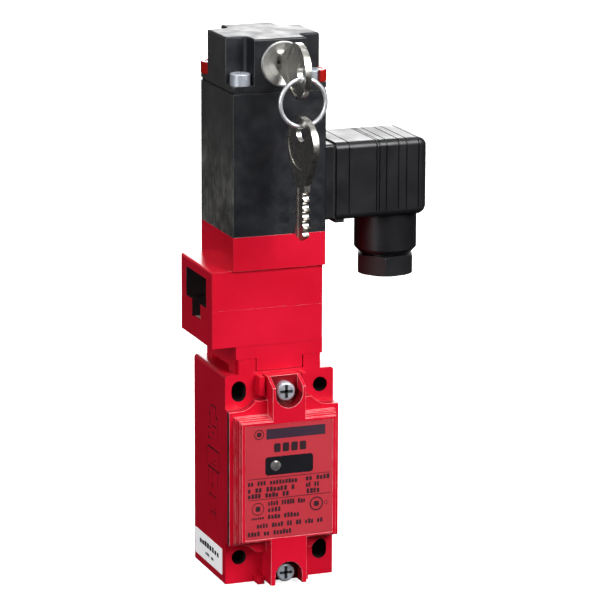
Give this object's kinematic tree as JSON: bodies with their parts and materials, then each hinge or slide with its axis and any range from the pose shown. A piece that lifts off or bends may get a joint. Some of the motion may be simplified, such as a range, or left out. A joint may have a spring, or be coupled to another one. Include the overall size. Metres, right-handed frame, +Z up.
{
  "type": "tongue interlock switch",
  "caption": "Key-released solenoid interlock switch: red cast housing with cover, slotted head for a coded tongue, black coil tower with lock and keys, square plug at the side.",
  "frame": {"origin": "centre of the four fixing holes, in the rear mounting plane", "axes": "+X right seen from the front, +Y back into the machine, +Z up along the tower; the front faces -Y"},
  "size_m": [0.0827, 0.0642, 0.193],
  "materials": {
    "red_paint": "gloss red lacquer on die-cast zinc",
    "label": "printed film",
    "lens": "clear lamp lens",
    "circuit_board": "satin",
    "seal_rubber": "matt",
    "zinc_screw": "bright zinc plate",
    "black_thermoset": "satin, fine texture",
    "connector_black": "satin",
    "contact_plastic": "satin",
    "plunger_plastic": "satin",
    "contact_brass": "satin",
    "spring_steel": "satin",
    "drum_steel": "machined",
    "bush_bronze": "satin",
    "soft_iron": "zinc plated",
    "copper_wire": "enamelled wire",
    "nickel": "nickel plate",
    "red_lacquer": "sealing lacquer"
  },
  "bodies": {
    "body": {"housing": "red_paint", "cover_gasket": "seal_rubber", "cover": "red_paint", "label_plate": "label", "led_lens": "lens", "led_board": "circuit_board", "cover_screws": "zinc_screw", "contact_block": "contact_plastic", "fixed_contacts": "contact_brass", "terminal_screws": "zinc_screw", "block_screws": "zinc_screw", "earth_screw": "zinc_screw", "plunger_spring": "spring_steel", "head_lower": "red_paint", "wear_plate": "spring_steel", "head_upper": "red_paint", "drum_axle": "drum_steel", "head_screws": "zinc_screw", "collar": "red_paint", "guide_bush": "bush_bronze", "coil_housing": "black_thermoset", "coil_can": "soft_iron", "coil_bobbin": "contact_plastic", "coil_winding": "copper_wire", "pole_piece": "soft_iron", "armature_spring": "spring_steel", "cap_gasket": "seal_rubber", "cap": "black_thermoset", "cap_screws": "zinc_screw", "tamper_seals": "red_lacquer", "lock_barrel": "nickel", "lock_nut": "nickel", "connector_base": "connector_black", "connector_pins": "contact_brass", "connector_gasket": "seal_rubber", "connector_housing": "connector_black", "terminal_insert": "contact_plastic", "connector_screw": "zinc_screw", "gland_nut": "connector_black", "gland_washer": "zinc_screw", "gland_seal": "seal_rubber"},
    "drum": {"cam_drum": "drum_steel"},
    "plunger": {"plunger": "plunger_plastic", "contact_bridges": "contact_brass"},
    "armature": {"armature": "soft_iron", "lock_pin": "drum_steel", "release_bracket": "drum_steel"},
    "lock": {"lock_plug": "nickel", "lock_cam": "drum_steel"},
    "key": {"key": "nickel"},
    "ring": {"key_ring": "nickel"},
    "spare": {"spare_key": "nickel"}
  },
  "joints": [
    {"name": "lock_turn", "type": "hinge", "parent": "body", "child": "lock", "pos_m": [0.0006, -0.0355, 0.144], "axis": [0, 1, 0], "range_deg": [0, 90]},
    {"name": "key_withdraw", "type": "slide", "parent": "lock", "child": "key", "axis": [0, -1, 0], "range_m": [0, 0.024]},
    {"name": "ring_swing", "type": "hinge", "parent": "key", "child": "ring", "pos_m": [0.0006, -0.0546, 0.1419], "axis": [-1, 0, 0], "range_deg": [-8, 75]},
    {"name": "spare_key_swing", "type": "hinge", "parent": "ring", "child": "spare", "pos_m": [0.0006, -0.0546, 0.1259], "axis": [-1, 0, 0], "range_deg": [-8, 60]},
    {"name": "drum_turn", "type": "hinge", "parent": "body", "child": "drum", "pos_m": [-0.00035, -0.0175, 0.059], "axis": [0, 1, 0], "range_deg": [0, 45]},
    {"name": "plunger_slide", "type": "slide", "parent": "body", "child": "plunger", "axis": [0, 0, 1], "range_m": [0, 0.004], "deforming": ["plunger_spring"]},
    {"name": "armature_lift", "type": "slide", "parent": "body", "child": "armature", "axis": [0, 0, 1], "range_m": [0, 0.0035], "deforming": ["armature_spring"]}
  ],
  "couplings": [
    {"joint": "plunger_slide", "follows": "drum_turn", "m_per_rad": 0.005093},
    {"joint": "armature_lift", "follows": "lock_turn", "m_per_rad": 0.0022282}
  ]
}
